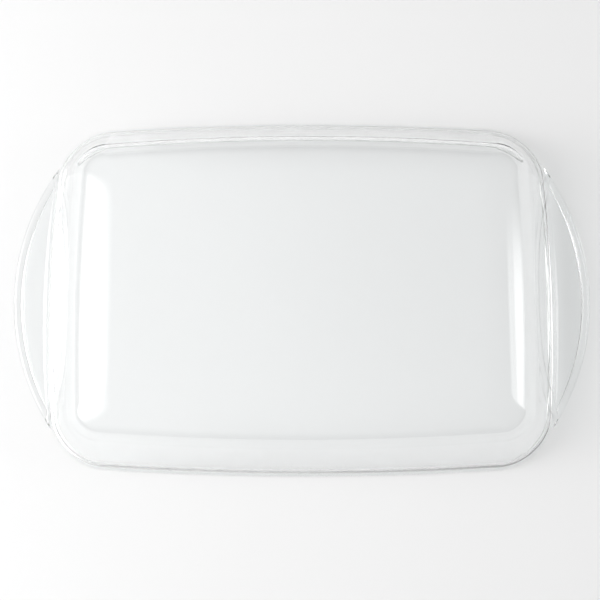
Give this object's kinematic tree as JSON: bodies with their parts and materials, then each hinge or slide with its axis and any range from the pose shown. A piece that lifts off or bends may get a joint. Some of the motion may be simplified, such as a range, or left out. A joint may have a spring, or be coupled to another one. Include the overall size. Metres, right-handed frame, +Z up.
{
  "type": "lasagna dish",
  "caption": "Oblong clear glass baking dish with flared walls, rounded corners, a flat base and a crescent handle at each end.",
  "frame": {"origin": "on the table, under the middle of the base. The dish lies as in the picture, turned over: rim and handles down, base up", "axes": "+X along the dish through both handles, +Y across it, +Z up, out of the outer face of the base"},
  "size_m": [0.39, 0.24, 0.055],
  "materials": {
    "clear_glass": "clear pressed glass, fire-polished"
  },
  "bodies": {
    "root": {"dish": "clear_glass"}
  },
  "joints": []
}
